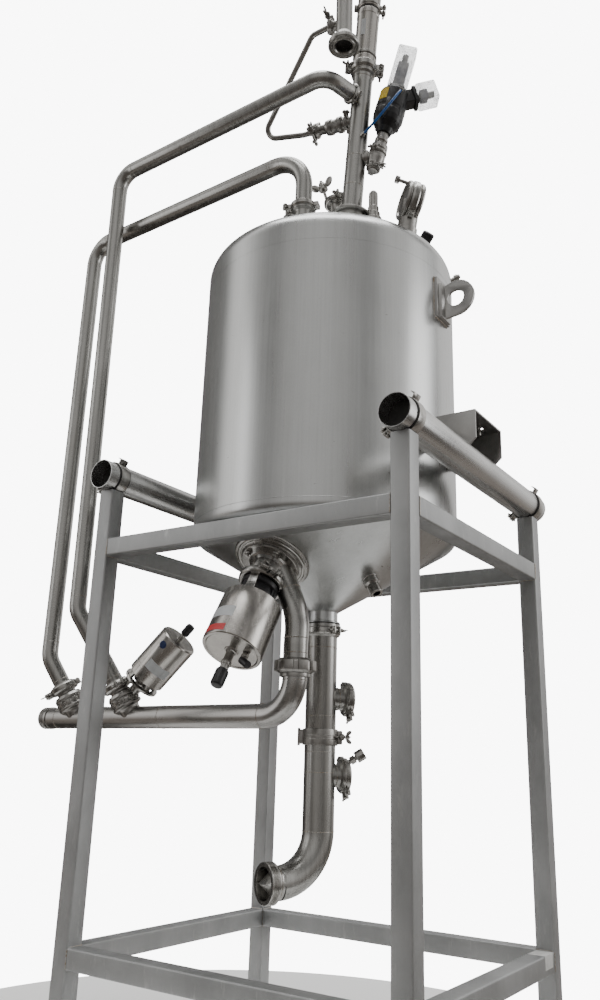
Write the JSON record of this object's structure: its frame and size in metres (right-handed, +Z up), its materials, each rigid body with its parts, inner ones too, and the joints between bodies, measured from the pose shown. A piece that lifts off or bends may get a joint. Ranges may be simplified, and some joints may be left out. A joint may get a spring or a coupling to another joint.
{
  "type": "jacketed process tank",
  "caption": "Stainless jacketed tank with a dished roof and cone bottom, hung in a box-section frame, with its valves, manifold and product pipes.",
  "frame": {"origin": "centre of the whole assembly's box, on the floor", "axes": "+Z up, +X to the right seen from the front, +Y from the front to the back"},
  "size_m": [1.7492, 1.096, 4.1297],
  "materials": {
    "frame_paint": "dull brushed box section with handling marks",
    "jacket_steel": "satin rolled sheet with fine vertical grain and water marks",
    "pipe_steel": "bright satin tube with weld tint at the joints",
    "fitting_steel": "machined and bead-blasted fittings",
    "polished_steel": "polished actuator cans",
    "black_housing": "black moulded housing",
    "clear_cover": "smoky clear moulded cover",
    "hose_plastic": "blue air hose"
  },
  "bodies": {
    "root": {"air_hose": "hose_plastic", "bracket_left": "fitting_steel", "bracket_right": "fitting_steel", "branch_actuator": "polished_steel", "bypass_tube": "pipe_steel", "check_valve": "fitting_steel", "cone_fitting": "fitting_steel", "control_valve_actuator": "black_housing", "control_valve_body": "fitting_steel", "drain_pipe": "pipe_steel", "drain_valve_actuator": "polished_steel", "drain_valve_body": "fitting_steel", "feedback_box_side": "clear_cover", "feedback_box_top": "clear_cover", "leg_front_left": "frame_paint", "leg_front_right": "frame_paint", "leg_rear_left": "frame_paint", "leg_rear_right": "frame_paint", "lifting_lug_left": "fitting_steel", "lifting_lug_right": "fitting_steel", "lower_rail_front": "frame_paint", "lower_rail_left": "frame_paint", "lower_rail_rear": "frame_paint", "lower_rail_right": "frame_paint", "manifold_pipe": "pipe_steel", "outlet_clamp": "fitting_steel", "outlet_pipe_lower": "pipe_steel", "outlet_pipe_upper": "pipe_steel", "return_nozzle": "fitting_steel", "return_pipe": "pipe_steel", "return_union": "fitting_steel", "riser_pipe": "pipe_steel", "roof_port": "fitting_steel", "supply_pipe": "pipe_steel", "supply_union": "fitting_steel", "support_tube_left": "pipe_steel", "support_tube_right": "pipe_steel", "swan_neck": "pipe_steel", "tank_cone": "jacket_steel", "tank_roof": "jacket_steel", "tank_shell": "jacket_steel", "union_nut": "fitting_steel", "upper_rail_front": "frame_paint", "upper_rail_left": "frame_paint", "upper_rail_rear": "frame_paint", "upper_rail_right": "frame_paint"}
  },
  "joints": []
}
